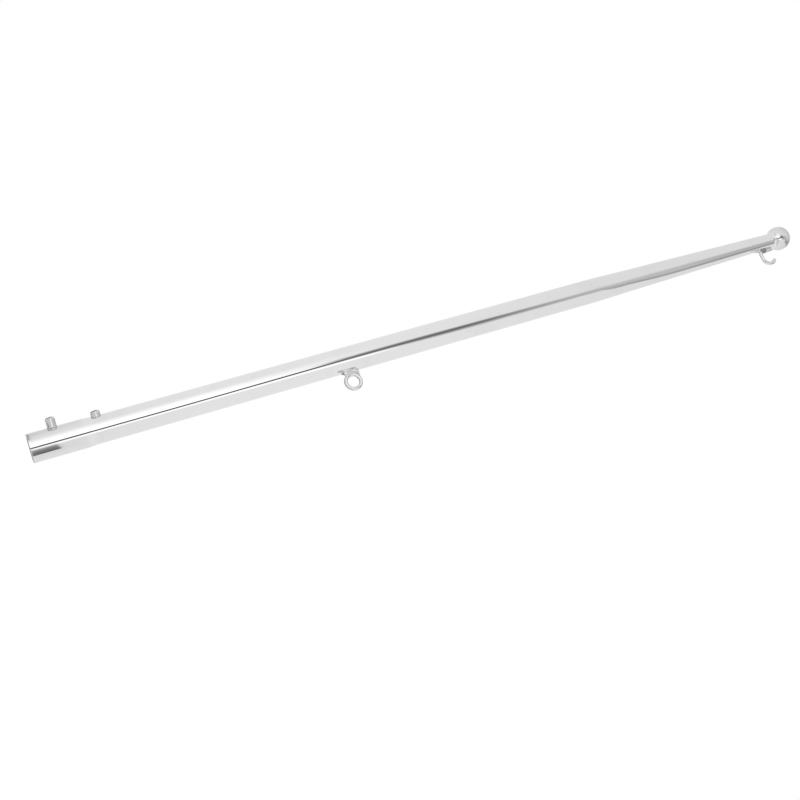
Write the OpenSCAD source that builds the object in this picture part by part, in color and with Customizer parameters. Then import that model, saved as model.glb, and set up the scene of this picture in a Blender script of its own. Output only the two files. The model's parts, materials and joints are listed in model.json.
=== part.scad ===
// Boat flagpole: a polished steel tube with a socket at its lower end, a ball at its tip,
// an eye and an open hook for the flag, and two screws that clamp it on a rail stub.
// Millimetres. +Z runs up the pole from the mouth of the socket, and the eye points along +X.

/* [Tube] */
// Outer diameter of the straight tube
tube_d = 25; // [18:0.5:40]
// Wall thickness of the straight and the tapered tube
tube_wall = 2; // [1.2:0.1:3]
// Height at which the taper starts
taper_z = 577; // [300:1:1200]
// Length of the steep shoulder at the start of the taper
shoulder_len = 26; // [10:1:60]
// How much the shoulder takes off the diameter
shoulder_drop = 1.6; // [0.4:0.1:3]
// Length of the long cone above the shoulder
cone_len = 203; // [80:1:400]
// Outer diameter at the tip of the cone
tip_d = 15.7; // [11:0.1:17]

/* [Socket] */
// Outer diameter of the expanded lower end
socket_d = 26.3; // [25.5:0.1:44]
// Bore of the expanded lower end, for a 22 mm stub
socket_bore_d = 22.2; // [18:0.1:34]
// Depth of the full bore
socket_depth = 47; // [30:1:90]
// Length over which the socket narrows into the tube
swage_len = 10; // [4:1:20]
// Bevel on the outer edge of the mouth
mouth_bevel = 0.5; // [0.2:0.1:0.8]

/* [Ball] */
// Diameter of the ball
ball_d = 26; // [22:0.5:60]
// Depth to which the spigot on the tube's tip enters the ball
spigot_len = 3.5; // [2:0.5:6]
// Step from the cone's tip in to the spigot
spigot_step = 0.65; // [0.4:0.05:1]
// Leg of the weld ring under the ball
ring_leg = 1.3; // [0.6:0.1:2.5]

/* [Eye and hook] */
// Diameter of the wire that the eye and the hook are bent from
wire_d = 3.5; // [2.5:0.1:6]
// Inside diameter of the eye, and of the hook's bow
eye_hole_d = 11; // [8:0.5:20]
// Height of the eye's centre
eye_z = 293.5; // [120:0.5:500]
// Root gap between the tube and the eye, filled by its weld
eye_gap = 1.4; // [0.2:0.1:3]
// Distance of the hook's shank below the tip of the cone
hook_drop = 20.2; // [20:0.1:60]
// Root gap between the tube and the hook's foot
hook_gap = 0.1; // [0.05:0.05:1]
// Length of the hook's foot, which lies along the tube
foot_len = 13; // [8:0.5:16]
// Radius of the wire's axis at the bend from foot to shank
foot_bend_r = 3.2; // [2.5:0.1:6]
// Length of the straight shank
shank_len = 5.1; // [2:0.1:12]
// How far the hook's bow sweeps round to its tip, in degrees
bow_sweep = 145; // [100:1:170]

/* [Welds] */
// How far the eye's weld runs below the eye's centre
eye_toe_low = 13; // [9:0.5:20]
// How far the eye's weld runs above the eye's centre
eye_toe_high = 8.5; // [7:0.5:20]
// Throat radius of the eye's weld
eye_throat_r = 4; // [2.5:0.1:4.6]
// How far the hook's weld runs below the shank
hook_toe_low = 8.5; // [4:0.5:14]
// Throat radius of the hook's weld
hook_throat_r = 2.9; // [2:0.1:3.4]

/* [Set screws] */
// Shank diameter of the set screws
screw_d = 8; // [5:0.5:10]
// Length of the set screws
screw_len = 10; // [8:0.5:20]
// Direction in which both screws point, in degrees round from the eye
screw_azimuth = 210; // [150:1:250]
// Height of the lower screw
lower_screw_z = 22.7; // [12:0.1:40]
// Height of the upper screw
upper_screw_z = 60.3; // [50:0.1:120]
// How far the lower screw stands out of the socket
lower_proud = 8.6; // [6:0.1:9]
// How far the upper screw stands out of the tube
upper_proud = 4.5; // [2:0.1:8]
// Bevel at both ends of a screw
screw_bevel = 1.1; // [0.4:0.1:1.4]
// Hexagon socket across flats
hex_af = 4; // [2:0.5:5]
// Depth of the hexagon socket
hex_depth = 4; // [2:0.5:6]
// Radial clearance between a screw and its hole
screw_clear = 0.05; // [0.02:0.01:0.1]
// Countersink at the mouth of a screw hole, added to the hole's radius
countersink = 0.3; // [0.1:0.1:1.2]

/* [Hidden] */
$fn = 96;

polished = [0.86, 0.87, 0.89];
satin = [0.66, 0.67, 0.69];

eps = 0.01;
seat_clear = 0.05;

tube_r = tube_d / 2;
socket_r = socket_d / 2;
socket_bore_r = socket_bore_d / 2;
tip_r = tip_d / 2;
wire_r = wire_d / 2;
bow_r = eye_hole_d / 2 + wire_r;

swage_top_z = socket_depth + swage_len;
shoulder_z = taper_z + shoulder_len;
shoulder_r = tube_r - shoulder_drop / 2;
tip_z = shoulder_z + cone_len;
cone_slope = (shoulder_r - tip_r) / cone_len;

// The ball is centred so that the spigot's step stops just short of its surface.
ball_r = ball_d / 2;
spigot_r = tip_r - spigot_step;
seat_r = spigot_r + seat_clear;
ball_z = tip_z + sqrt(pow(ball_r, 2) - pow(seat_r, 2)) + 4 * seat_clear;

eye_x = tube_r + eye_gap + bow_r + wire_r;

shank_z = tip_z - hook_drop;
foot_x = cone_r(shank_z) + hook_gap + wire_r;
bend_x = foot_x + foot_bend_r;
bend_z = shank_z + foot_bend_r;
bow_x = bend_x + shank_len;
bow_z = shank_z + bow_r;
foot_top_z = bend_z + foot_len;

// Outer radius of the long cone at height z
function cone_r(z) = shoulder_r - cone_slope * (z - shoulder_z);

// Height of the ball's underside at radius r
function ball_under(r) = ball_z - sqrt(pow(ball_r, 2) - pow(r, 2));

// The tube's outline, outside from the mouth up to the step of the spigot
outer_line = [
    [socket_r - mouth_bevel, 0],
    [socket_r, mouth_bevel],
    [socket_r, socket_depth],
    [tube_r, swage_top_z],
    [tube_r, taper_z],
    [shoulder_r, shoulder_z],
    [tip_r, tip_z]
];

// Its inside, from the spigot's end back down to the mouth
inner_line = [
    [tip_r - tube_wall, tip_z + spigot_len],
    [tip_r - tube_wall, tip_z],
    [shoulder_r - tube_wall, shoulder_z],
    [tube_r - tube_wall, taper_z],
    [tube_r - tube_wall, swage_top_z],
    [socket_bore_r, socket_depth],
    [socket_bore_r, 0]
];

spigot_line = [[spigot_r, tip_z], [spigot_r, tip_z + spigot_len]];

// Puts what is drawn along +X from the pole's axis at a screw's direction and height
module at_screw(z) {
    rotate([0, 0, screw_azimuth]) translate([0, 0, z]) rotate([0, 90, 0]) children();
}

module screw_hole(z, surface_r) {
    hole_r = screw_d / 2 + screw_clear;
    at_screw(z) {
        cylinder(r = hole_r, h = surface_r + screw_len);
        translate([0, 0, surface_r - countersink])
            cylinder(r1 = hole_r, r2 = hole_r + 2 * countersink, h = 2 * countersink);
    }
}

module pole_tube() {
    color(polished) difference() {
        rotate_extrude() polygon(concat(outer_line, spigot_line, inner_line));
        screw_hole(lower_screw_z, socket_r);
        screw_hole(upper_screw_z, tube_r);
    }
}

module ball_finial() {
    color(polished) difference() {
        translate([0, 0, ball_z]) sphere(r = ball_r);
        translate([0, 0, ball_z - ball_r])
            cylinder(r = seat_r, h = tip_z + spigot_len + seat_clear - (ball_z - ball_r));
    }
}

// A ring of weld in the corner between the cone's tip and the ball
module finial_weld() {
    ring_r = tip_r + ring_leg;
    color(satin) difference() {
        rotate_extrude() polygon([
            [cone_r(tip_z - ring_leg), tip_z - ring_leg],
            [ring_r, ball_under(ring_r)],
            [tip_r, ball_under(tip_r) + eps],
            [tip_r, tip_z]
        ]);
        translate([0, 0, ball_z]) sphere(r = ball_r);
    }
}

// A stretch of bent wire in the XZ plane, from an angle that is measured from +X towards +Z
module bent_wire(x, z, bend_r, start, sweep) {
    translate([x, 0, z]) rotate([90, 0, 0]) rotate([0, 0, start])
        rotate_extrude(angle = sweep) translate([bend_r, 0]) circle(r = wire_r);
}

module eye_ring() {
    bent_wire(eye_x, eye_z, bow_r, 0, 360);
}

module flag_eye() {
    color(polished) eye_ring();
}

module hook_wire() {
    tip_bevel = wire_r * 0.4;
    translate([foot_x, 0, bend_z]) cylinder(r = wire_r, h = foot_len);
    bent_wire(bend_x, bend_z, foot_bend_r, 180, 90);
    translate([bend_x, 0, shank_z]) rotate([0, 90, 0]) cylinder(r = wire_r, h = shank_len);
    bent_wire(bow_x, bow_z, bow_r, -90, bow_sweep);
    translate([bow_x, 0, bow_z]) rotate([0, 90 - bow_sweep, 0]) translate([0, 0, -bow_r])
        rotate([0, 90, 0]) cylinder(r1 = wire_r, r2 = wire_r - tip_bevel, h = tip_bevel);
}

module flag_hook() {
    color(polished) hook_wire();
}

// A bead of weld on the line x, widest between two heights and fading out at both toes
module weld_bead(x, toe_low, full_low, full_high, toe_high, throat_r) {
    toe_r = throat_r / 5;
    translate([x, 0, 0]) rotate_extrude() polygon([
        [0, toe_low],
        [toe_r, toe_low],
        [throat_r, full_low],
        [throat_r, full_high],
        [toe_r, toe_high],
        [0, toe_high]
    ]);
}

module eye_weld() {
    color(satin) difference() {
        weld_bead(tube_r, eye_z - eye_toe_low, eye_z - wire_d, eye_z + wire_d,
            eye_z + eye_toe_high, eye_throat_r);
        translate([0, 0, eye_z - 2 * eye_toe_low]) cylinder(r = tube_r, h = 4 * eye_toe_low);
        eye_ring();
    }
}

module hook_weld() {
    color(satin) difference() {
        weld_bead(cone_r(shank_z), shank_z - hook_toe_low, shank_z - wire_r, foot_top_z - wire_d,
            foot_top_z + wire_r / 2, hook_throat_r);
        rotate_extrude() polygon([
            [0, shoulder_z], [shoulder_r, shoulder_z], [tip_r, tip_z], [0, tip_z]
        ]);
        hook_wire();
    }
}

// A headless screw along +Z from its inner end, with a hexagon socket in the outer one
module set_screw() {
    r = screw_d / 2;
    difference() {
        rotate_extrude() polygon([
            [0, 0],
            [r - screw_bevel / 2, 0],
            [r, screw_bevel / 2],
            [r, screw_len - screw_bevel],
            [r - screw_bevel, screw_len],
            [0, screw_len]
        ]);
        translate([0, 0, screw_len - hex_depth])
            cylinder(d = hex_af / cos(30), h = hex_depth + 1, $fn = 6);
    }
}

module lower_set_screw() {
    color(polished) at_screw(lower_screw_z)
        translate([0, 0, socket_r + lower_proud - screw_len]) set_screw();
}

module upper_set_screw() {
    color(polished) at_screw(upper_screw_z)
        translate([0, 0, tube_r + upper_proud - screw_len]) set_screw();
}

pole_tube();
ball_finial();
finial_weld();
flag_eye();
eye_weld();
flag_hook();
hook_weld();
lower_set_screw();
upper_set_screw();
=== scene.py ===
"""Looks of a polished steel boat flagpole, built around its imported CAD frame.

Every length is in metres. +Z runs up the pole from the mouth of its socket, and the eye and the
hook point along +X. Each operator below makes one piece or one group of like pieces.
"""
import json
import math
import bmesh
import bpy
from bpy.props import FloatProperty, FloatVectorProperty, PointerProperty
from mathutils import Matrix, Vector, noise


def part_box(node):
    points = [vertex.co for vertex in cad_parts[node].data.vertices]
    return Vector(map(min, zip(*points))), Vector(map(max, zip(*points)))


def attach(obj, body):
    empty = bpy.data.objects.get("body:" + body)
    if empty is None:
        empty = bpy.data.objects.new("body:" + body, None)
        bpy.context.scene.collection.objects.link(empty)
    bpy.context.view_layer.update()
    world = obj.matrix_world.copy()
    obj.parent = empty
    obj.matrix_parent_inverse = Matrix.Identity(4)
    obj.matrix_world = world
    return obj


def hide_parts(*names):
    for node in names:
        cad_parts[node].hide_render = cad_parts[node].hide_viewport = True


bl_info = {
    "name": "Boat flagpole looks",
    "version": (1, 0, 0),
    "blender": (4, 5, 0),
    "location": "View3D > Sidebar > Flagpole",
    "description": "Builds a polished boat flagpole",
    "category": "Object",
}

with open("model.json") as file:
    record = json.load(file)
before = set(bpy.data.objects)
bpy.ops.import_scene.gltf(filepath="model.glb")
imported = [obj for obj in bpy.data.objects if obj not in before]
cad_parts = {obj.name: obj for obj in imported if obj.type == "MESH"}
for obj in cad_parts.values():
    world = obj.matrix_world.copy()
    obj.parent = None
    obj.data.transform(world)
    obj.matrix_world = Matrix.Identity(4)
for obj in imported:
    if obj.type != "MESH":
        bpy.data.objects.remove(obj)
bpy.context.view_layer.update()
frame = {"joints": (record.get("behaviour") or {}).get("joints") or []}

MM = 0.001
TURN = 2 * math.pi
OUTWARD = -Vector(frame["joints"][0]["axis"]).normalized()
EYE_LO, EYE_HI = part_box("flag_eye")
HOOK_LO, HOOK_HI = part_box("flag_hook")
BALL_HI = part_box("ball_finial")[1]
TUBE_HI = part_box("pole_tube")[1]
SCREW_Z = {name: (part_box(name)[0].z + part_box(name)[1].z) / 2
           for name in ("lower_set_screw", "upper_set_screw")}
SCREW_TURN = math.atan2(OUTWARD.y, OUTWARD.x)

# The tube's grid of points, and the patches of it round the screw holes
COLUMNS = 192
HOLE_COLUMNS = 15
HOLE_ROWS = 30
HOLE_RINGS = 8
HOLE_PATCH_Z = 7 * MM


# ---- sizes and colours

def length(name, description, millimetres):
    """A length property, kept in metres."""
    return FloatProperty(name=name, description=description, default=millimetres * MM, min=0, unit="LENGTH",
        precision=5)


def angle(name, description, degrees):
    """An angle property, kept in radians."""
    return FloatProperty(name=name, description=description, default=math.radians(degrees), subtype="ANGLE")


def share(name, description, default, high=1.0):
    """A plain number from 0 up."""
    return FloatProperty(name=name, description=description, default=default, min=0, max=high)


def glow(name, where, default):
    """The brightness of a part of the tent."""
    return share(name, "Brightness of the " + where, default, 5)


def tint(name, description, default):
    """A linear colour."""
    return FloatVectorProperty(name=name, description=description, default=default, size=3, subtype="COLOR",
        min=0, max=1)


class PoleSizes(bpy.types.PropertyGroup):
    """Sizes that the frame's boxes don't give"""
    tube_r: length("Tube radius", "Outer radius of the straight tube", 12.5)
    wall: length("Wall", "Wall of the straight and the tapered tube", 2)
    bore_r: length("Bore radius", "Radius of the socket's bore", 11.1)
    socket_depth: length("Socket depth", "Depth of the full bore", 47)
    swage_len: length("Swage length", "Length from the socket to the tube", 10)
    lip_r: length("Lip radius", "Rounding of the socket's outer edge", 0.9)
    taper_z: length("Taper height", "Start of the taper", 577)
    shoulder_len: length("Shoulder length", "Length of the taper's steep start", 26)
    shoulder_drop: length("Shoulder drop", "What the shoulder takes off the radius", 0.8)
    tip_r: length("Tip radius", "Outer radius at the tip of the cone", 7.85)
    spigot_len: length("Spigot length", "Length of the spigot inside the ball", 3.5)
    spigot_step: length("Spigot step", "Step from the cone's tip in to the spigot", 0.65)
    soften: length("Soften", "Length over which the taper's corners are rounded", 7)


class FittingSizes(bpy.types.PropertyGroup):
    """Sizes of the wire fittings, their welds and the screws"""
    wire_r: length("Wire radius", "Radius of the eye's and the hook's wire", 1.75)
    foot_bend_r: length("Foot bend", "Radius of the bend from foot to shank", 3.2)
    shank_len: length("Shank length", "Length of the hook's straight shank", 5.1)
    bow_sweep: angle("Bow sweep", "How far the hook's bow sweeps round to its tip", 145)
    eye_bead_r: length("Eye bead", "Half the width of the eye's weld on the tube", 2)
    hook_bead_r: length("Hook bead", "Half the width of the hook's weld on the tube", 2.9)
    ripple: length("Weld ripple", "Spacing of the ripples in a weld", 1.15)
    screw_r: length("Screw radius", "Shank radius of the set screws", 4)
    screw_len: length("Screw length", "Length of the set screws", 10)
    screw_bevel: length("Screw bevel", "Bevel round a screw's outer end", 1.1)
    hole_r: length("Hole radius", "Radius of the screw holes", 4.05)
    countersink: length("Countersink", "Width of a hole's countersink", 0.3)
    lower_proud: length("Lower screw", "How far it stands out of the socket", 8.6)
    upper_proud: length("Upper screw", "How far it stands out of the tube", 4.5)
    pitch: length("Thread pitch", "Pitch of the screw thread", 1.25)
    thread_depth: length("Thread depth", "Depth of the screw thread", 0.62)
    lower_thread: length("Lower thread", "Length of its thread", 1.2)
    upper_thread: length("Upper thread", "Length of its thread", 5)
    hex_r: length("Socket radius", "Half the hexagon socket's width across flats", 2)
    hex_depth: length("Socket depth", "Depth of the hexagon socket", 4)


class SteelLook(bpy.types.PropertyGroup):
    """Colours and finishes of the metal"""
    polished: tint("Polished steel", "Face-on reflection of the buffed steel", (0.865, 0.865, 0.866))
    bead: tint("Weld bead", "Brushed weld metal", (0.8, 0.8, 0.797))
    bore: tint("Bore", "Unpolished inside of the tube", (0.42, 0.42, 0.415))
    thread: tint("Thread", "Rolled screw thread", (0.62, 0.62, 0.61))
    gloss: share("Gloss", "Roughness of the cleanest polish", 0.035)
    smear: share("Smear", "Roughness that hand marks add", 0.055)
    wave: share("Wave", "Height of the slow waves in the polish, in micrometres", 14, 50)
    line: share("Lines", "Height of the buffing lines, in micrometres", 0.05, 5)


class StudioLook(bpy.types.PropertyGroup):
    """The tent that the steel reflects, the floor and the camera"""
    tent_r: length("Tent radius", "Distance from the pole's axis to the wall", 1170)
    tent_top: length("Tent height", "Height of the tent's roof", 1950)
    wall: glow("Wall", "tent's white wall", 0.81)
    wall_high: glow("Bright wall", "wall a little above the pole's foot", 0.88)
    softbox: glow("Softbox", "tall softbox", 1.3)
    strip: glow("Strip", "narrow strip right of the slit", 1.18)
    slit: glow("Slit", "slit in the tent's front", 0.045)
    room: glow("Room", "room that shows above the tent's front", 0.5)
    skirting: glow("Skirting", "dark skirting of the wall", 0.22)
    back_panel: glow("Back panel", "panels at the back", 1.12)
    seam: glow("Seam", "seam between the back panels", 0.08)
    roof: glow("Roof", "tent's roof", 0.67)
    roof_dark: glow("Dark roof", "roof over the right side", 0.38)
    table: glow("Table", "table under the tent", 0.7)
    table_slit: glow("Table slit", "table in front of the slit", 0.4)
    table_back: glow("Table back", "table behind the pole", 0.3)
    # The table's darkness at the pole's foot is a painted contact shadow of the pole
    table_foot_shadow: glow("Table foot", "table at the pole's foot", 0.1)
    floor_light: share("Floor light", "Strength of the overhead light", 2.4, 20)
    camera_distance: length("Camera distance", "Level distance from the pole's axis", 955.6)
    camera_azimuth: angle("Camera azimuth", "Where it stands round the pole", -70)
    aim_azimuth: angle("Aim azimuth", "Direction in which it looks", 106.931)
    aim_height: angle("Aim elevation", "How far up it looks", 19.349)
    camera_roll: angle("Camera roll", "Roll about its line of sight", 73.282)
    lens: FloatProperty(name="Lens", description="Focal length on a 36 mm sensor", default=47.3,
        unit="CAMERA")


# ---- mesh helpers

def mix(a, b, t):
    return a + (b - a) * t


def ease(t):
    """Smooth step from 0 to 1."""
    t = min(max(t, 0.0), 1.0)
    return t * t * (3 - 2 * t)


def ramp_up(x, width):
    """0 well below zero and x well above it, with a rounded corner."""
    return (x + math.sqrt(x * x + width * width)) / 2


def steps(a, b, n):
    """n + 1 values from a to b."""
    return [mix(a, b, i / n) for i in range(n + 1)]


def arc(cx, cy, r, start, end, n):
    """n + 1 points on an arc, with its angles in degrees."""
    turns = [math.radians(a) for a in steps(start, end, n)]
    return [(cx + r * math.cos(a), cy + r * math.sin(a)) for a in turns]


def rounded(before, corner, after, n):
    """n + 1 points of a curve from before to after that turns inside a corner."""
    return [tuple(p * (1 - t) ** 2 + c * 2 * t * (1 - t) + q * t * t
                  for p, c, q in zip(before, corner, after)) for t in steps(0, 1, n)]


def mesh_piece(name, verts, faces, materials, material_index=None, sharp=35):
    """A smooth object made from points and faces: points that coincide are joined, faces with no area are
    dropped and every face points outwards."""
    mesh = bpy.data.meshes.new(name)
    mesh.from_pydata([tuple(v) for v in verts], [], faces)
    for material in materials:
        mesh.materials.append(material)
    if material_index:
        mesh.polygons.foreach_set("material_index", material_index)
    mesh.polygons.foreach_set("use_smooth", [True] * len(mesh.polygons))
    piece = bpy.data.objects.new(name, mesh)
    bpy.context.scene.collection.objects.link(piece)
    bm = bmesh.new()
    bm.from_mesh(mesh)
    bmesh.ops.remove_doubles(bm, verts=bm.verts, dist=1e-6)
    bmesh.ops.dissolve_degenerate(bm, dist=1e-6, edges=bm.edges)
    bmesh.ops.recalc_face_normals(bm, faces=bm.faces)
    bm.to_mesh(mesh)
    bm.free()
    mesh.set_sharp_from_angle(angle=math.radians(sharp))
    return piece


def grid_faces(rows, cols, closed=False):
    """Quads over rings of points that are stored one after another."""
    faces = []
    for j in range(rows if closed else rows - 1):
        low, high = j * cols, (j + 1) % rows * cols
        for i in range(cols):
            k = (i + 1) % cols
            faces.append((low + i, low + k, high + k, high + i))
    return faces


def round_ring(r, z, count, start=0.0):
    """Points of a level ring round the pole's axis."""
    turns = [start + TURN * i / count for i in range(count)]
    return [(r * math.cos(a), r * math.sin(a), z) for a in turns]


def lathe(profile, segments, closed=False):
    """Points and faces of a profile of (radius, height) turned round Z."""
    verts = [point for r, z in profile for point in round_ring(r, z, segments)]
    return verts, grid_faces(len(profile), segments, closed)


def sweep(path, radii, sides, closed=False):
    """A round wire along a path in the XZ plane. radii gives its radius at each point of the path."""
    verts = []
    end = len(path) - 1
    for k, (x, z) in enumerate(path):
        x0, z0 = path[k - 1 if k or closed else 0]
        x1, z1 = path[(k + 1) % len(path) if k < end or closed else end]
        span = math.hypot(x1 - x0, z1 - z0)
        nx, nz = (z1 - z0) / span, -(x1 - x0) / span
        for i in range(sides):
            a = TURN * i / sides
            out = radii[k] * math.cos(a)
            verts.append((x + nx * out, radii[k] * math.sin(a), z + nz * out))
    faces = grid_faces(len(path), sides, closed)
    if not closed:
        faces += [tuple(range(sides))[::-1], tuple(range(end * sides, end * sides + sides))]
    return verts, faces


# ---- the tube's shape

class TubeShape:
    """Radius of the tube's outside and inside at any height."""

    def __init__(self, s):
        self.s = s
        self.socket_r = min(TUBE_HI.x, TUBE_HI.y)
        self.tip_z = TUBE_HI.z - s.spigot_len
        self.shoulder_z = s.taper_z + s.shoulder_len
        self.steep = s.shoulder_drop / s.shoulder_len
        self.slope = (s.tube_r - s.shoulder_drop - s.tip_r) / (self.tip_z - self.shoulder_z)

    def drop(self, z):
        """How far the taper has taken the radius in at height z."""
        s = self.s
        return (self.steep * ramp_up(z - s.taper_z, s.soften)
                + (self.slope - self.steep) * ramp_up(z - self.shoulder_z, s.soften))

    def radius(self, z, in_socket, above):
        """Radius at height z of a wall with these radii in the socket and in the straight tube."""
        swage = ease((z - self.s.socket_depth) / self.s.swage_len)
        return mix(in_socket, above, swage) - self.drop(z) + self.drop(0)

    def outer(self, z):
        return self.radius(z, self.socket_r, self.s.tube_r)

    def inner(self, z):
        return self.radius(z, self.s.bore_r, self.s.tube_r - self.s.wall)

    def normal(self, x, y, z, radius, side):
        """Unit normal of the outside (side 1) or the inside (side -1) at a point on it."""
        step = 0.05 * MM
        lean = -(radius(z + step) - radius(z - step)) / (2 * step)
        flat = Vector((x, y, 0)).normalized()
        return side * Vector((flat.x, flat.y, lean)).normalized()


def tube_rows(shape, low, high):
    """Heights of the rings of points from low to high, close together where the outline curves."""
    s = shape.s
    swage_end, curve = s.socket_depth + s.swage_len, 4 * s.soften
    curve_start, curve_end = s.taper_z - curve, shape.shoulder_z + curve
    rows = steps(low, s.socket_depth, 12) + steps(s.socket_depth, swage_end, 20)
    rows += steps(swage_end, curve_start, 40) + steps(curve_start, curve_end, 40) + steps(curve_end, high, 24)
    for z in SCREW_Z.values():
        rows = [r for r in rows if abs(r - z) > HOLE_PATCH_Z + 0.2 * MM]
        rows += steps(z - HOLE_PATCH_Z, z + HOLE_PATCH_Z, HOLE_ROWS)
    return sorted(set(round(r, 7) for r in rows if low <= r <= high))


def tube_wall(radius, rows, hole_edge, first):
    """One side of the tube's wall. hole_edge(angle, name) gives the radius of a screw's hole.

    Returns the points, the faces, the two end rings and the ring of points round each hole."""
    verts, faces, rims = [], [], {}

    def place(u, z):
        """A point on the wall, u across from the plane of the screws."""
        r = radius(z)
        a = SCREW_TURN + math.asin(u / r)
        return (r * math.cos(a), r * math.sin(a), z)

    def grid_index(j, i):
        return first + j * COLUMNS + i % COLUMNS

    for z in rows:
        verts += round_ring(radius(z), z, COLUMNS, SCREW_TURN)
    spans = {}
    for name, zc in SCREW_Z.items():
        inside = [j for j, z in enumerate(rows) if abs(z - zc) < HOLE_PATCH_Z + 0.01 * MM]
        spans[name] = (inside[0], inside[-1])
    for j in range(len(rows) - 1):
        in_patch = any(a <= j < b for a, b in spans.values())
        for i in range(COLUMNS):
            if in_patch and (i < HOLE_COLUMNS or i >= COLUMNS - HOLE_COLUMNS):
                continue
            corners = ((j, i), (j, i + 1), (j + 1, i + 1), (j + 1, i))
            faces.append(tuple(grid_index(*corner) for corner in corners))
    for name, (j0, j1) in spans.items():
        zc = SCREW_Z[name]
        border = [(j0, i) for i in range(-HOLE_COLUMNS, HOLE_COLUMNS)]
        border += [(j, HOLE_COLUMNS) for j in range(j0, j1)]
        border += [(j1, i) for i in range(HOLE_COLUMNS, -HOLE_COLUMNS, -1)]
        border += [(j, -HOLE_COLUMNS) for j in range(j1, j0, -1)]
        loops = [[grid_index(j, i) for j, i in border]]
        outline = [(radius(rows[j]) * math.sin(TURN * i / COLUMNS), rows[j] - zc) for j, i in border]
        angles = [math.atan2(u, v) for u, v in outline]
        for k in range(1, HOLE_RINGS + 1):
            t = ease(k / HOLE_RINGS) if k < HOLE_RINGS else 1.0
            loop = []
            for (u, v), angle in zip(outline, angles):
                edge = hole_edge(angle, name)
                uu, vv = mix(u, edge * math.sin(angle), t), mix(v, edge * math.cos(angle), t)
                loop.append(first + len(verts))
                verts.append(place(uu, zc + vv))
            loops.append(loop)
        for a, b in zip(loops, loops[1:]):
            faces += bridge(a, b)
        rims[name] = (loops[-1], angles)
    ends = [[grid_index(j, i) for i in range(COLUMNS)] for j in (0, len(rows) - 1)]
    return verts, faces, ends, rims


def bridge(a, b):
    """Quads between two closed rings of point numbers."""
    n = len(a)
    return [(a[i], a[(i + 1) % n], b[(i + 1) % n], b[i]) for i in range(n)]


def build_tube(sizes, fittings, outside, bore):
    """The tube: both sides of its wall, the mouth, the spigot at the tip and the screw holes."""
    shape = TubeShape(sizes)
    lip, fine_lip = sizes.lip_r, 0.25 * MM
    hole = fittings.hole_r
    edge_break = 0.1 * MM

    def sunk_edge(angle, name):
        """Radius at which the countersink meets the outside of the tube."""
        surface = shape.outer(SCREW_Z[name])
        edge = hole
        for _ in range(12):
            height = math.sqrt(surface ** 2 - (edge * math.sin(angle)) ** 2)
            edge = hole + max(edge_break, height - surface + fittings.countersink)
        return edge

    outer_rows = tube_rows(shape, lip, shape.tip_z)
    inner_rows = tube_rows(shape, fine_lip, shape.tip_z)
    verts, faces, outer_ends, outer_rims = tube_wall(shape.outer, outer_rows, sunk_edge, 0)
    more, inner_faces, inner_ends, inner_rims = tube_wall(shape.inner, inner_rows, lambda angle, name: hole,
        len(verts))
    verts += more
    faces += inner_faces

    def ring(r, z):
        verts.extend(round_ring(r, z, COLUMNS, SCREW_TURN))
        return list(range(len(verts) - COLUMNS, len(verts)))

    # The mouth: a rounded outer edge, the flat end and a fine inner edge
    mouth = arc(shape.outer(0) - lip, lip, lip, 0, -90, 8)[1:]
    mouth += arc(shape.inner(0) + fine_lip, fine_lip, fine_lip, -90, -180, 5)[:-1]
    loops = [outer_ends[0]] + [ring(r, z) for r, z in mouth] + [inner_ends[0]]
    # The spigot that goes up inside the ball
    spigot_r, end_z = sizes.tip_r - sizes.spigot_step, TUBE_HI.z
    top = [outer_ends[1], ring(spigot_r, shape.tip_z), ring(spigot_r, end_z),
           ring(shape.inner(shape.tip_z), end_z), inner_ends[1]]
    for chain in (loops, top):
        for a, b in zip(chain, chain[1:]):
            faces += bridge(a, b)
    slots = [0] * len(faces)
    # The walls of the screw holes: a countersink and a straight bore
    flat = Matrix.Rotation(SCREW_TURN, 3, "Z")
    for name, zc in SCREW_Z.items():
        rim, angles = outer_rims[name]
        inner_rim, _ = inner_rims[name]
        surface = shape.outer(zc)
        neck = []
        for angle in angles:
            wall = math.sqrt(surface ** 2 - (hole * math.sin(angle)) ** 2)
            height = min(surface - fittings.countersink, wall - edge_break)
            spot = flat @ Vector((height, hole * math.sin(angle), 0))
            neck.append(len(verts))
            verts.append((spot.x, spot.y, zc + hole * math.cos(angle)))
        faces += bridge(rim, neck) + bridge(neck, inner_rim)
    slots += [1] * (len(faces) - len(slots))
    piece = mesh_piece("polished_tube", verts, faces, [outside, bore], slots)
    shade_tube(piece.data, shape)
    return piece


def shade_tube(mesh, shape):
    """Gives the tube's walls the exact normals of its outline, so that reflections run true past the holes."""
    normals = [(0.0, 0.0, 0.0)] * len(mesh.loops)
    low, high = 0.2 * MM, shape.tip_z - 0.01 * MM
    for face in mesh.polygons:
        points = [mesh.vertices[v].co for v in face.vertices]
        if min(p.z for p in points) < low or max(p.z for p in points) > high:
            continue
        for radius, side in ((shape.outer, 1), (shape.inner, -1)):
            if all(abs(math.hypot(p.x, p.y) - radius(p.z)) < 0.002 * MM for p in points):
                for loop, p in zip(face.loop_indices, points):
                    normals[loop] = tuple(shape.normal(p.x, p.y, p.z, radius, side))
                face.material_index = 0 if side > 0 else 1
    mesh.normals_split_custom_set(normals)


# ---- other shapes

def build_ball(sizes, steel):
    """The ball, with the blind bore that takes the spigot."""
    r = BALL_HI.x
    centre = BALL_HI.z - r
    seat_r = sizes.tip_r - sizes.spigot_step + 0.05 * MM
    seat_top = TUBE_HI.z + 0.05 * MM
    start = -math.degrees(math.acos(seat_r / r))
    profile = [(0, seat_top), (seat_r, seat_top)] + arc(0, centre, r, start, 90, 110)
    verts, faces = lathe(profile, 192)
    return mesh_piece("polished_ball", verts, faces, [steel])


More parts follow.
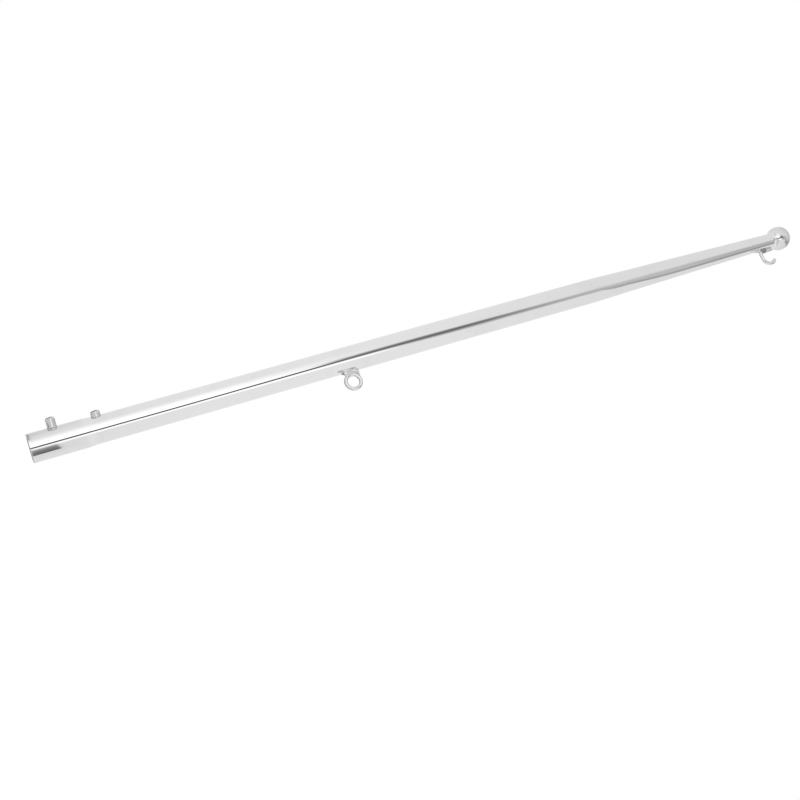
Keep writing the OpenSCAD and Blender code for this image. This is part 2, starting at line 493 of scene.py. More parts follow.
def build_ball_weld(sizes, weld):
    """The hollow fillet between the cone's tip and the ball."""
    shape = TubeShape(sizes)
    r = BALL_HI.x
    centre = BALL_HI.z - r
    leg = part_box("finial_weld")[1].x - sizes.tip_r
    low_z, top_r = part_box("finial_weld")[0].z, sizes.tip_r + leg
    high_z = centre - math.sqrt(r * r - top_r * top_r)
    corner_z = centre - math.sqrt(r * r - sizes.tip_r ** 2) + 0.1 * MM
    corner = (shape.outer(shape.tip_z) + 0.15 * MM, corner_z)
    profile = rounded((shape.outer(low_z), low_z), corner, (top_r, high_z), 14)
    profile += [(top_r - 0.4 * MM, high_z + 0.3 * MM), (sizes.tip_r - 0.4 * MM, low_z + 0.2 * MM)]
    verts, faces = lathe(profile, 144, closed=True)
    # Fine ripples round it fade out at its lower edge
    rippled = []
    for x, y, z in verts:
        wave = 1 + 0.006 * math.sin(46 * math.atan2(y, x)) + 0.01 * noise.noise(Vector((x, y, z)) * 600)
        swell = mix(1, wave, ease((z - low_z) / (0.8 * MM)))
        rippled.append((x * swell, y * swell, z))
    return mesh_piece("ball_fillet", rippled, faces, [weld])


def build_eye(fittings, steel):
    """The closed ring."""
    centre = (EYE_LO + EYE_HI) / 2
    wire = fittings.wire_r
    bend = (EYE_HI.x - EYE_LO.x) / 2 - wire
    path = arc(centre.x, centre.z, bend, 0, 360, 160)[:-1]
    verts, faces = sweep(path, [wire] * len(path), 48, closed=True)
    return mesh_piece("wire_eye", verts, faces, [steel])


def build_hook(fittings, steel):
    """The hook: a foot along the tube, a bend, a shank and an open bow with a rounded tip."""
    wire = fittings.wire_r
    foot_x, shank_z = HOOK_LO.x + wire, HOOK_LO.z + wire
    bow_r = HOOK_HI.x - wire - (foot_x + fittings.foot_bend_r + fittings.shank_len)
    bend_x, bend_z = foot_x + fittings.foot_bend_r, shank_z + fittings.foot_bend_r
    bow_x, bow_z = bend_x + fittings.shank_len, shank_z + bow_r
    foot_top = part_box("hook_weld")[1].z - wire / 2
    path = [(foot_x, z) for z in steps(foot_top, bend_z, 14)]
    path += arc(bend_x, bend_z, fittings.foot_bend_r, 180, 270, 24)[1:]
    path += [(x, shank_z) for x in steps(bend_x, bow_x, 8)][1:]
    path += arc(bow_x, bow_z, bow_r, -90, -90 + math.degrees(fittings.bow_sweep), 70)[1:]
    radii = [wire] * len(path)
    # The domed tip carries on round the bow for less than a wire's radius
    tip_turn = 0.4 * wire / bow_r
    for t in steps(0, math.pi / 2, 8)[1:]:
        turn = fittings.bow_sweep - math.pi / 2 + tip_turn * math.sin(t)
        path.append((bow_x + bow_r * math.cos(turn), bow_z + bow_r * math.sin(turn)))
        radii.append(wire * (0.25 + 0.75 * math.cos(t)))
    verts, faces = sweep(path, radii, 44)
    return mesh_piece("wire_hook", verts, faces, [steel], sharp=50)


def along(points, x):
    """Value at x of a line through (x, value) points, eased between them."""
    for (x0, y0), (x1, y1) in zip(points, points[1:]):
        if x <= x1:
            return mix(y0, y1, ease((x - x0) / (x1 - x0)))
    return points[-1][1]


def in_mm(start, *points):
    """Points for along, given in millimetres, with x from start."""
    return [(start + x * MM, value * MM) for x, value in points]


def build_bead(name, shape, low, high, axis_x, reach, width, fittings, weld, seed):
    """A rippled weld bead along the tube. reach(z) is how far it stands out, and width lists (height, half its
    width). Its underside lies inside the wall, and its crest is about as wide as the wire."""
    rows, cols, end_rows = 120, 72, 5
    crest, bedded = 1.9 * MM, 0.7 * MM
    verts = []
    for j in range(rows + 1):
        z = mix(low, high, j / rows)
        end = math.sin(min(1, j / end_rows, (rows - j) / end_rows) * math.pi / 2) ** 0.5
        out, half = reach(z) * end, along(width, z) * end
        for i in range(cols):
            a = TURN * i / cols
            up = max(0.0, math.cos(a))
            # Each ripple bulges along the bead, and its edge bows back at the sides
            phase = (z - low) / fittings.ripple + 0.35 * (1 - math.cos(a))
            ripple = 0.03 * (1 - abs(math.sin(math.pi * phase))) ** 2
            lump = 0.05 * noise.noise(Vector((z * 260 + seed, math.cos(a) * 1.3, math.sin(a) * 1.3)))
            swell = 0.98 - ripple + lump
            x = axis_x + (out if up else half) * math.cos(a) * swell
            y = mix(half, min(half, crest), up) * math.sin(a) * swell
            flat = math.hypot(x, y)
            under = shape.outer(z) - bedded
            if flat < under:
                x, y = x * under / flat, y * under / flat
            verts.append((x, y, z))
    return mesh_piece(name, verts, grid_faces(rows + 1, cols), [weld], sharp=60)


def screw_end(fittings):
    """Outline (radius, distance from the inner end) of a screw's outer end: a bevel with rounded edges."""
    r, bevel, tip = fittings.screw_r, fittings.screw_bevel, fittings.screw_len
    shoulder = rounded((r, tip - 1.65 * bevel), (r, tip - bevel), (r - 0.45 * bevel, tip - 0.55 * bevel), 8)
    rim = rounded((r - 0.55 * bevel, tip - 0.45 * bevel), (r - bevel, tip), (r - 1.28 * bevel, tip), 8)
    return shoulder + rim


def build_screw(name, fittings, end, thread_len, steel, thread):
    """A headless screw: a thread at the inner end, a plain shank and a hexagon socket in the domed end. end is
    the distance of the outer end from the pole's axis."""
    segments, thread_rows = 120, 40
    screw_r, tip, pitch = fittings.screw_r, fittings.screw_len, fittings.pitch
    floor = tip - fittings.hex_depth
    corner = fittings.hex_r / math.cos(math.pi / 6)
    lead = fittings.screw_bevel / 2
    outer_end = screw_end(fittings)
    outline = [(min(screw_r, screw_r - lead + h), h) for h in steps(0, thread_len, thread_rows)]
    outline += [(screw_r, h) for h in steps(thread_len, outer_end[0][1], 10)[1:-1]] + outer_end

    def ring(radius, h):
        """Points (radius, angle, height) of a ring. radius(turn) is the radius after that share of a turn."""
        return [(radius(i / segments), TURN * i / segments, h) for i in range(segments)]

    def threaded(plain, h):
        """Radius of the thread at height h, as a function of the turn."""
        def radius(turn):
            valley = max(0.0, 1 - abs((h / pitch - turn) % 1.0 - 0.5) / 0.42)
            depth = fittings.thread_depth * min(1, 1.25 * valley) * ease((thread_len - h) / (0.6 * pitch))
            return min(plain, max(plain - depth, screw_r - fittings.thread_depth - 0.1 * MM))
        return radius

    def flats(turn):
        """Radius of the hexagon socket."""
        return fittings.hex_r / math.cos((turn * TURN + math.pi / 6) % (math.pi / 3) - math.pi / 6)

    def level(r):
        return lambda turn: r

    rings = [ring(level(0), 0)]
    rings += [ring(threaded(plain, h) if h < thread_len else level(plain), h) for plain, h in outline]
    # The socket: a lead-in, six flats, a flat floor and a drill point
    rings += [ring(level(corner + 0.2 * MM), tip), ring(flats, tip - 0.3 * MM), ring(flats, floor),
              ring(level(0.8 * fittings.hex_r), floor), ring(level(0), floor - 0.7 * MM)]
    up = Vector((0, 0, 1))
    side = up.cross(OUTWARD)
    base = OUTWARD * (end - tip) + up * SCREW_Z[name]
    verts = [base + OUTWARD * h + (side * math.sin(a) + up * math.cos(a)) * r
             for row in rings for r, a, h in row]
    slots = [1 if row < thread_rows else 0 for row in range(len(rings) - 1) for _ in range(segments)]
    piece_name = name.replace("set_screw", "grub_screw")
    return mesh_piece(piece_name, verts, grid_faces(len(rings), segments), [steel, thread], slots, sharp=28)


# ---- shader helpers

def grey(level):
    return (level, level, level, 1)


def shaded(colour, part=1.0):
    """The colour times part, with an alpha of 1."""
    return tuple(c * part for c in colour) + (1,)


class Nodes:
    """Short calls for adding nodes to a tree."""

    def __init__(self, tree):
        self.new, self.link = tree.nodes.new, tree.links.new
        self.shader = tree.nodes.get("Principled BSDF")

    def add(self, kind, inputs=None, **settings):
        node = self.new(kind)
        for key, value in settings.items():
            setattr(node, key, value)
        for key, value in (inputs or {}).items():
            self.feed(node.inputs[key], value)
        return node

    def feed(self, socket, value):
        if isinstance(value, bpy.types.NodeSocket):
            self.link(value, socket)
        else:
            socket.default_value = value

    def math(self, operation, a, b=0.0, clamp=False):
        return self.add("ShaderNodeMath", {0: a, 1: b}, operation=operation, use_clamp=clamp).outputs[0]

    def plus(self, a, b, clamp=False):
        return self.math("ADD", a, b, clamp)

    def minus(self, a, b):
        return self.math("SUBTRACT", a, b)

    def times(self, first, *others):
        for other in others:
            first = self.math("MULTIPLY", first, other)
        return first

    def far(self, x, y):
        """Distance of (x, y) from the middle."""
        return self.math("SQRT", self.plus(self.times(x, x), self.times(y, y)))

    def smooth(self, value, low, high):
        """0 below low, 1 above high and a smooth step between, or the reverse where low is the larger."""
        ends = {"Value": value, "From Min": min(low, high), "From Max": max(low, high)}
        step = self.add("ShaderNodeMapRange", ends, interpolation_type="SMOOTHSTEP").outputs[0]
        return step if low < high else self.minus(1.0, step)

    def band(self, value, low, high, soft_low, soft_high):
        """1 between low and high, with an edge of its own softness at each side."""
        rise = self.smooth(value, low - soft_low, low + soft_low)
        fall = self.smooth(value, high - soft_high, high + soft_high)
        return self.times(rise, self.minus(1.0, fall))

    def blend(self, mask, a, b):
        """a where the mask is 0 and b where it is 1, for plain numbers."""
        return self.add("ShaderNodeMix", {"Factor": mask, "A": a, "B": b}, data_type="FLOAT").outputs[0]

    def paint(self, light, value, *masks):
        """The light, with the value instead where all the masks are 1."""
        return self.blend(self.times(*masks), light, value)

    def tint(self, mask, a, b, **settings):
        """The same for colours."""
        return self.add("ShaderNodeMix", {0: mask, 6: a, 7: b}, data_type="RGBA", **settings).outputs[2]

    def noise(self, vector, scale, detail=2.0, roughness=0.5, distortion=0.0):
        return self.add("ShaderNodeTexNoise", {"Vector": vector, "Scale": scale, "Detail": detail,
            "Roughness": roughness, "Distortion": distortion}).outputs[0]

    def mapped(self, vector, scale, rotation=(0, 0, 0)):
        """The vector stretched and turned."""
        inputs = {"Vector": vector, "Scale": scale, "Rotation": rotation}
        return self.add("ShaderNodeMapping", inputs).outputs[0]

    def group(self, tree, **inputs):
        """Outputs of a node group."""
        return self.add("ShaderNodeGroup", inputs, node_tree=tree).outputs

    def finish(self, colour, roughness, height, distance, strength=1.0):
        """Makes the shader a metal with this colour, roughness and bump."""
        bump = self.add("ShaderNodeBump", {"Height": height, "Distance": distance, "Strength": strength})
        for name, value in {"Metallic": 1.0, "Base Color": colour, "Roughness": roughness,
                            "Normal": bump.outputs[0]}.items():
            self.feed(self.shader.inputs[name], value)


FLOAT, VECTOR, COLOUR = "NodeSocketFloat", "NodeSocketVector", "NodeSocketColor"


def effect(name, inputs, outputs):
    """An empty node group with named sockets of these types."""
    group = bpy.data.node_groups.new(name, "ShaderNodeTree")
    for side, sockets in (("INPUT", inputs), ("OUTPUT", outputs)):
        for socket, kind in sockets.items():
            group.interface.new_socket(name=socket, in_out=side, socket_type=kind)
    nodes = Nodes(group)
    return group, nodes, nodes.add("NodeGroupInput").outputs, nodes.add("NodeGroupOutput").inputs


def polish_effect(name):
    """Hand marks, wiping streaks and dust specks on buffed steel."""
    group, n, given, out = effect(name, {"Spot": VECTOR, "Gloss": FLOAT, "Smear": FLOAT},
        {"Roughness": FLOAT, "Film": FLOAT})
    spot = given["Spot"]
    cloud = n.smooth(n.noise(spot, 28, 4, 0.6, 0.4), 0.48, 0.74)
    streak = n.smooth(n.noise(n.mapped(spot, (900, 900, 60)), 1, 3, 0.7), 0.52, 0.8)
    print_mark = n.smooth(n.noise(spot, 95, 2, 0.5, 1.2), 0.6, 0.72)
    speck = n.smooth(n.noise(spot, 2600, 1), 0.77, 0.84)
    film = n.plus(n.times(cloud, n.blend(streak, 0.45, 1.0)), n.times(print_mark, 0.35), clamp=True)
    n.link(film, out["Film"])
    rough = n.plus(given["Gloss"], n.times(film, given["Smear"]))
    n.link(n.plus(rough, n.times(speck, 0.12)), out["Roughness"])
    return group


def buffing_effect(name):
    """Height of slow waves, fine buffing lines and scratches. The lines lie across Stretch's longest side."""
    group, n, given, out = effect(name, {"Spot": VECTOR, "Stretch": VECTOR, "Wave": FLOAT, "Line": FLOAT,
        "Nick": FLOAT}, {"Height": FLOAT})
    spot = given["Spot"]
    wave = n.times(n.noise(n.mapped(spot, (55, 55, 26)), 1, 2, 0.45), given["Wave"])
    stretched = n.add("ShaderNodeVectorMath", {0: spot, 1: given["Stretch"]}, operation="MULTIPLY").outputs[0]
    line = n.times(n.noise(stretched, 1, 4, 0.75), given["Line"])
    slanted = n.mapped(spot, (60, 1500, 90), (0.4, 0.3, 0.9))
    scratch = n.smooth(n.noise(slanted, 1, 1, 0.4), 0.735, 0.79)
    n.link(n.minus(n.plus(wave, line), n.times(scratch, given["Nick"])), out["Height"])
    return group


def weld_effect(name):
    """Colour and height of brushed weld metal: mottled silver with faint darker patches, and painted shade, as
    more and darker patches, where the shade input is high.
    """
    group, n, given, out = effect(name, {"Spot": VECTOR, "Metal": COLOUR, "Soot": FLOAT},
        {"Colour": COLOUR, "Roughness": FLOAT, "Height": FLOAT})
    spot, metal = given["Spot"], given["Metal"]
    mottle = n.noise(spot, 700, 3, 0.55, 0.5)
    # Darker patches: faint ones all over, and painted shade where the shade input raises them to full strength
    patch = n.minus(n.noise(spot, 420, 3, 0.6), n.times(given["Soot"], 0.3))
    soot = n.times(n.smooth(patch, 0.56, 0.38), n.blend(given["Soot"], 0.1, 1.0))
    dark = n.tint(1.0, metal, grey(0.4), blend_type="MULTIPLY")
    bright = n.tint(n.smooth(mottle, 0.5, 0.75), metal, grey(0.86))
    n.link(n.tint(soot, bright, dark), out["Colour"])
    n.link(n.blend(mottle, 0.22, 0.4), out["Roughness"])
    n.link(mottle, out["Height"])
    return group


def shared(name, maker):
    """The named node group, made on first use."""
    return bpy.data.node_groups.get(name) or maker(name)


def polished_steel(n, spot, look, stretch, gloss=1.0, wave=1.0, tone=1.0, edge=1.0):
    """Mirror-polished steel, with marks that suit how the piece was buffed."""
    marks = n.group(shared("Handled polish", polish_effect), Spot=spot, Gloss=look.gloss * gloss,
        Smear=look.smear)
    lines = n.group(shared("Buffing marks", buffing_effect), Spot=spot, Stretch=stretch, Wave=look.wave * wave,
        Line=look.line, Nick=0.12)
    clean, hazed = shaded(look.polished, tone), shaded(look.polished, tone * 0.92)
    n.shader.inputs["Specular Tint"].default_value = grey(edge)
    n.finish(n.tint(marks["Film"], clean, hazed), marks["Roughness"], lines["Height"], 1e-6)


def weld_metal(n, spot, look, soot, low, high):
    """Brushed weld metal with painted shade, as dark patches, between two heights."""
    z = n.add("ShaderNodeSeparateXYZ", {0: spot}).outputs[2]
    # Painted shade: the weld is darkened in a band between low and high
    sooty = n.times(n.band(z, low, high, 0.8 * MM, 0.8 * MM), soot)
    metal = n.group(shared("Weld metal", weld_effect), Spot=spot, Metal=shaded(look.bead), Soot=sooty)
    n.finish(metal["Colour"], metal["Roughness"], metal["Height"], 14e-6, 0.6)


def bore_steel(n, spot, look):
    """The tube's unpolished inside, drawn lengthways."""
    drawn = n.noise(n.mapped(spot, (2400, 2400, 18)), 1, 3, 0.6)
    rough = n.blend(n.noise(spot, 160, 3), 0.3, 0.5)
    n.finish(n.tint(drawn, shaded(look.bore), shaded(look.bore, 0.72)), rough, drawn, 8e-6)


def thread_steel(n, spot, look):
    """Rolled thread, with darker grease in random patches."""
    grime = n.smooth(n.noise(spot, 800, 3, 0.6), 0.45, 0.7)
    rough = n.blend(grime, 0.18, 0.34)
    n.finish(n.tint(grime, shaded(look.thread), shaded(look.thread, 0.7)), rough, n.noise(spot, 3000, 2), 5e-6)


def new_material(name):
    """A material with its nodes and its object coordinates."""
    made = bpy.data.materials.new(name)
    made.use_nodes = True
    n = Nodes(made.node_tree)
    return made, n, n.add("ShaderNodeTexCoord").outputs["Object"]


def material(name, maker, **settings):
    """The named material, made on first use."""
    found = bpy.data.materials.get(name)
    if not found:
        found, n, spot = new_material(name)
        maker(n, spot, bpy.context.scene.steel_look, **settings)
    return found


def wire_steel():
    """Polished wire, the same on the eye and the hook."""
    return material("wire_polish", polished_steel, stretch=(900, 900, 900), gloss=1.5, tone=0.96, edge=0.25)


# ---- operators

def hand_over(piece, node, body="pole"):
    """Rides a piece on its body in place of a CAD node."""
    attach(piece, body)
    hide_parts(node)


class FLAGPOLE_OT_tube(bpy.types.Operator):
    """Builds the polished tube with its socket, taper and screw holes"""
    bl_idname = "flagpole.tube"
    bl_label = "Tube"

    def execute(self, context):
        scene = context.scene
        outside = material("tube_polish", polished_steel, stretch=(40, 40, 5200))
        bore = material("bore_drawn", bore_steel)
        piece = build_tube(scene.pole_sizes, scene.fitting_sizes, outside, bore)
        hand_over(piece, "pole_tube")
        return {"FINISHED"}


class FLAGPOLE_OT_ball(bpy.types.Operator):
    """Builds the ball and the fillet under it"""
    bl_idname = "flagpole.ball"
    bl_label = "Ball and fillet"

    def execute(self, context):
        sizes = context.scene.pole_sizes
        steel = material("ball_polish", polished_steel, stretch=(60, 60, 3000), gloss=1.3, wave=0.6, tone=0.91)
        hand_over(build_ball(sizes, steel), "ball_finial")
        weld = material("fillet_polish", polished_steel, stretch=(300, 300, 900), gloss=3.0, wave=2.0)
        hand_over(build_ball_weld(sizes, weld), "finial_weld")
        return {"FINISHED"}


class FLAGPOLE_OT_eye(bpy.types.Operator):
    """Builds the flag eye and its weld"""
    bl_idname = "flagpole.eye"
    bl_label = "Eye and weld"

    def execute(self, context):
        sizes, fittings = context.scene.pole_sizes, context.scene.fitting_sizes
        hand_over(build_eye(fittings, wire_steel()), "flag_eye")
        low, high = (corner.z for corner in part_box("eye_weld"))
        low, high = low + 4.2 * MM, high + 0.6 * MM
        centre, ring_r = (EYE_LO + EYE_HI) / 2, (EYE_HI.x - EYE_LO.x) / 2
        half = fittings.eye_bead_r
        limit = in_mm(low, (0, 0.4), (2, 1.5), (4, 3.5), (6, 7))
        width = in_mm(low, (0, 0.7), (3, 1.6))
        width += [(low + 6 * MM, half), (high - 4 * MM, half), (high, 0.6 * half)]

        def reach(z):
            """The weld fills the corners between the tube and the ring."""
            rest = ring_r ** 2 - (z - centre.z) ** 2
            to_ring = centre.x - math.sqrt(max(rest, 0)) - sizes.tube_r + 1.2 * MM
            return min(to_ring, along(limit, z))

        # The eye bead's lowest 3 mm gets painted shade
        weld = material("eye_bead_brushed", weld_metal, soot=0.75, low=low, high=low + 3 * MM)
        bead = build_bead("eye_bead", TubeShape(sizes), low, high, sizes.tube_r, reach, width, fittings, weld,
            3.1)
        hand_over(bead, "eye_weld")
        return {"FINISHED"}


class FLAGPOLE_OT_hook(bpy.types.Operator):
    """Builds the flag hook and its weld"""
    bl_idname = "flagpole.hook"
    bl_label = "Hook and weld"

    def execute(self, context):
        shape, fittings = TubeShape(context.scene.pole_sizes), context.scene.fitting_sizes
        hand_over(build_hook(fittings, wire_steel()), "flag_hook")
        low, high = (corner.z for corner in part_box("hook_weld"))
        shank = HOOK_LO.z + fittings.wire_r
        half = fittings.hook_bead_r
        end = 0.4 * MM
        reach = [(low, end)] + in_mm(shank, (-2, 1.6), (1.8, 4.2), (6.8, 4.2), (9.5, 1)) + [(high, end)]
        width = [(low, 0.8 * MM), (shank, 0.8 * half), (shank + 2 * MM, half), (shank + 7 * MM, half),
                 (shank + 10 * MM, 0.5 * half), (high, 0.8 * MM)]
        # The hook bead gets painted shade round its shank
        weld = material("hook_bead_sooty", weld_metal, soot=0.9, low=shank + 0.5 * MM, high=shank + 8.5 * MM)
        bead = build_bead("hook_bead", shape, low, high, shape.outer(shank), lambda z: along(reach, z), width,
            fittings, weld, 8.4)
        hand_over(bead, "hook_weld")
        return {"FINISHED"}


class FLAGPOLE_OT_screws(bpy.types.Operator):
    """Builds the two set screws"""
    bl_idname = "flagpole.screws"
    bl_label = "Set screws"

    def execute(self, context):
        fittings, shape = context.scene.fitting_sizes, TubeShape(context.scene.pole_sizes)
        steel = material("screw_polish", polished_steel, stretch=(200, 200, 2000), gloss=2, tone=0.9, edge=0.4)
        thread = material("thread_rolled", thread_steel)
        lower_end, upper_end = shape.socket_r + fittings.lower_proud, shape.s.tube_r + fittings.upper_proud
        for name, end, thread_len in (("lower_set_screw", lower_end, fittings.lower_thread),
                                      ("upper_set_screw", upper_end, fittings.upper_thread)):
            screw = build_screw(name, fittings, end, thread_len, steel, thread)
            hand_over(screw, name, name.replace("_set", ""))
        return {"FINISHED"}


class FLAGPOLE_OT_stage(bpy.types.Operator):
    """Sets up the floor, the studio that the steel reflects, the overhead light and the camera"""
    bl_idname = "flagpole.stage"
    bl_label = "Stage"

    def execute(self, context):
        look = context.scene.studio_look
        build_floor()
        build_tent(look)
        build_world()
        build_light(look)
        build_camera(look)
        context.scene.view_settings.view_transform = "Standard"
        return {"FINISHED"}


def build_floor():
    """A round pale floor, 2 mm under the mouth of the socket."""
    verts, faces = lathe([(0, -2 * MM), (2.5, -2 * MM)], 96)
    paint, n, spot = new_material("pale_floor")
    n.link(n.tint(n.noise(spot, 6, 3), grey(0.9), grey(0.87)), n.shader.inputs["Base Color"])
    n.shader.inputs["Roughness"].default_value = 0.9
    n.shader.inputs["Specular IOR Level"].default_value = 0.1
    floor = mesh_piece("studio_floor", verts, faces, [paint])
    floor.visible_glossy = False


def build_light(look):
    """A wide overhead light for the floor alone: the steel doesn't show it."""
    lamp = bpy.data.lights.new("overhead", "SUN")
    lamp.energy = look.floor_light
    lamp.angle = math.radians(50)
    light = bpy.data.objects.new("overhead", lamp)
    light.rotation_euler = (math.radians(12), math.radians(8), 0)
    light.visible_glossy = False
    bpy.context.scene.collection.objects.link(light)


def build_tent(look):
    """A white tent that only the steel's reflections show: a wall with a softbox, a slit and a strip, a roof
    and a table. Turns run round the pole from the slit, in degrees. A rise is the slope, in degrees, at which
    the upright tube reflects that height of the wall to a camera level with the pole's foot. Out is the
    distance from the pole's axis, as a share of the tent's radius."""
    ground, top = -4 * MM, look.tent_top
    verts, faces = lathe([(0, ground), (look.tent_r, ground), (look.tent_r, top), (0, top)], 96)
    cloth, n, spot = new_material("tent_cloth")
    cloth.cycles.emission_sampling = "NONE"
    nodes = cloth.node_tree.nodes
    nodes.remove(n.shader)
    inputs = {"Vector": spot, "Angle": -look.camera_azimuth}
    turned = n.add("ShaderNodeVectorRotate", inputs, rotation_type="Z_AXIS").outputs[0]
    x, y, z = n.add("ShaderNodeSeparateXYZ", {0: turned}).outputs
    degrees = 180 / math.pi
    turn = n.times(n.math("ARCTAN2", y, x), degrees)
    reach = look.camera_distance - 12.5 * MM + look.tent_r
    rise = n.times(n.math("ARCTANGENT", n.math("DIVIDE", z, reach)), degrees)
    out = n.math("DIVIDE", n.far(x, y), look.tent_r)
    light = tent_wall(n, look, turn, rise)
    light = n.blend(n.smooth(z, -2 * MM, 0), tent_table(n, look, turn, out), light)
    light = n.blend(n.smooth(z, top - 3 * MM, top - 1 * MM), light, tent_roof(n, look, turn, out))
    glow = n.add("ShaderNodeEmission", {"Strength": light})
    n.link(glow.outputs[0], nodes["Material Output"].inputs[0])
    tent = mesh_piece("studio_tent", verts, faces, [cloth])
    tent.visible_camera = tent.visible_diffuse = tent.visible_shadow = tent.visible_transmission = False


def tent_wall(n, look, turn, rise):
    """Brightness of the wall."""
    light = n.blend(n.band(rise, 4, 27, 6, 9), look.wall, look.wall_high)
    # The foot of the wall is dimmer at both sides
    sides = n.plus(n.band(turn, -150, -92, 12, 16), n.times(n.band(turn, 26, 85, 10, 25), 0.5))
    light = n.minus(light, n.times(sides, n.smooth(rise, 4.5, 0.5), 0.1))
    # The softbox stands left of the slit and fades at its outer side and its top
    light = n.paint(light, look.softbox, n.band(turn, -42, -2, 30, 1.5), n.band(rise, -45, 14.5, 3, 6))
    # The strip stands right of the slit
    light = n.paint(light, look.strip, n.band(turn, 5, 19, 1.5, 1.5), n.band(rise, -45, 19.5, 3, 1.2))
    # The dim room above the tent's front, which reaches further right the higher it is
    right_edge = n.plus(3.0, n.times(n.smooth(rise, 15, 25), 19.0))
    beyond = n.minus(turn, n.plus(right_edge, n.times(n.smooth(rise, 31.5, 36.6), 46.0)))
    left = n.minus(turn, n.times(n.smooth(rise, 33, 41), 6.0))
    room = n.times(n.smooth(left, -20, 8), n.minus(1.0, n.smooth(beyond, -6, 5)), n.smooth(rise, 18.5, 23))
    inside = n.plus(look.room, n.times(n.band(rise, 32, 38, 2, 2), 0.07))
    corner = n.times(n.smooth(beyond, -34, -12), n.smooth(rise, 31, 35))
    light = n.blend(room, light, n.minus(inside, n.times(corner, 0.18)))
    # The dark doorway behind the slit, just above the softbox; it leans to the right
    across = n.math("DIVIDE", n.minus(turn, n.minus(rise, 27.0)), 20.0)
    above = n.math("DIVIDE", n.minus(rise, 21.2), 9.5)
    shade = n.times(n.minus(1.0, n.smooth(n.far(across, above), 0.25, 1.05)), n.smooth(rise, 14.5, 17))
    light = n.times(light, n.minus(1.0, n.times(shade, 0.74)))
    # The slit
    lean = n.minus(turn, n.times(n.smooth(rise, 7, 17), -5.0))
    light = n.paint(light, look.slit, n.band(lean, -3.6, 6.2, 1.2, 1.2), n.band(rise, -45, 19, 2, 4))
    # A dark edge, low on the right, with a slanting top
    top = n.minus(rise, n.times(turn, 0.0036))
    dark = n.blend(n.smooth(turn, 20, 60), 0.3, 0.14)
    light = n.paint(light, dark, n.band(turn, 20, 64, 13, 1.2), n.band(top, -14, 1.31, 3, 0.04))
    # A dark skirting, low on the left
    light = n.paint(light, look.skirting, n.band(turn, -132, -66, 5, 8), n.band(rise, -14, 0.14, 3, 0.03))
    # A seam with a bright panel at each side, at the back
    back = n.minus(180.0, n.math("ABSOLUTE", turn))
    light = n.paint(light, look.back_panel, n.band(back, 0, 15, 1, 3))
    return n.paint(light, look.seam, n.smooth(back, 4.5, 2.5))


def tent_table(n, look, turn, out):
    """Brightness of the table: bright in front of the softbox, dim behind the pole, and dark at its foot,
    where the pole's contact shadow is painted.
    """
    light = n.paint(look.table, look.softbox, n.band(turn, -45, -8, 6, 3), n.smooth(out, 0.62, 0.76))
    light = n.paint(light, look.table_slit, n.band(turn, -6, 5, 3, 3), n.smooth(out, 0.3, 0.5))
    behind = n.smooth(n.math("ABSOLUTE", turn), 75, 115)
    light = n.paint(light, look.table_back, behind, n.smooth(out, 0.05, 0.1), n.smooth(out, 0.42, 0.2))
    # A painted contact shadow of the pole, on the table round its foot
    return n.paint(light, look.table_foot_shadow, n.smooth(out, 0.0145, 0.0125), n.smooth(turn, -78, -60))


def tent_roof(n, look, turn, out):
    """Brightness of the roof: a little brighter over the softbox, and dark over the right side."""
    light = n.paint(look.roof, look.wall, n.band(turn, -80, 20, 30, 30), n.smooth(out, 0.1, 0.6))
    return n.paint(light, look.roof_dark, n.band(turn, 55, 125, 20, 20), n.smooth(out, 0.3, 0.5))


def build_world():
    """An even light on the floor. Seen directly, the backdrop is plain white."""
    world = bpy.data.worlds.new("white_backdrop")
    world.use_nodes = True
    bpy.context.scene.world = world
    n = Nodes(world.node_tree)
    seen = n.add("ShaderNodeLightPath").outputs["Is Camera Ray"]
    n.link(n.blend(seen, 0.85, 1.0), world.node_tree.nodes["Background"].inputs["Color"])


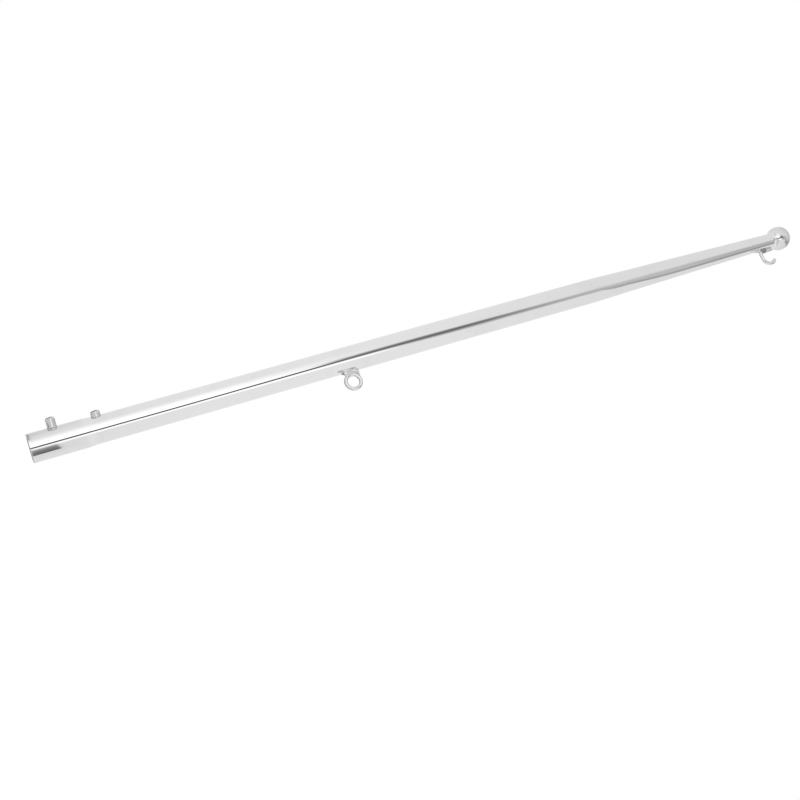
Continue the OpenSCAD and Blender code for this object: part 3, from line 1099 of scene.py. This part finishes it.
def build_camera(look):
    """The camera, level with the pole's foot and rolled so that the pole lies across the view."""
    lens = bpy.data.cameras.new("camera")
    lens.sensor_width = 36
    lens.lens = look.lens
    lens.clip_start = 0.01
    camera = bpy.data.objects.new("camera", lens)
    place = Matrix.Rotation(look.camera_azimuth, 3, "Z") @ Vector((look.camera_distance, 0, 0))
    facing = Matrix.Rotation(look.aim_azimuth - math.pi / 2, 4, "Z")
    tilt = Matrix.Rotation(look.aim_height + math.pi / 2, 4, "X")
    roll = Matrix.Rotation(look.camera_roll, 4, "Z")
    camera.matrix_world = Matrix.Translation(place) @ facing @ tilt @ roll
    bpy.context.scene.collection.objects.link(camera)
    bpy.context.scene.camera = camera


class FLAGPOLE_PT_panel(bpy.types.Panel):
    """Lists the flagpole's pieces"""
    bl_label = "Flagpole"
    bl_idname = "FLAGPOLE_PT_panel"
    bl_space_type = "VIEW_3D"
    bl_region_type = "UI"
    bl_category = "Flagpole"

    def draw(self, context):
        for group in GROUPS:
            box = self.layout.box()
            settings = getattr(context.scene, group)
            for key in settings.__annotations__:
                box.prop(settings, key)
        for operator in OPERATORS:
            self.layout.operator(operator.bl_idname)


GROUPS = {"pole_sizes": PoleSizes, "fitting_sizes": FittingSizes, "steel_look": SteelLook,
          "studio_look": StudioLook}
OPERATORS = (FLAGPOLE_OT_tube, FLAGPOLE_OT_ball, FLAGPOLE_OT_eye, FLAGPOLE_OT_hook, FLAGPOLE_OT_screws,
             FLAGPOLE_OT_stage)


def register():
    for cls in (*GROUPS.values(), *OPERATORS, FLAGPOLE_PT_panel):
        bpy.utils.register_class(cls)
    for name, group in GROUPS.items():
        setattr(bpy.types.Scene, name, PointerProperty(type=group))


def unregister():
    for name in GROUPS:
        delattr(bpy.types.Scene, name)
    for cls in reversed((*GROUPS.values(), *OPERATORS, FLAGPOLE_PT_panel)):
        bpy.utils.unregister_class(cls)


def main():
    register()
    for operator in OPERATORS:
        area, verb = operator.bl_idname.split(".")
        getattr(getattr(bpy.ops, area), verb)()


if __name__ == "__main__":
    main()
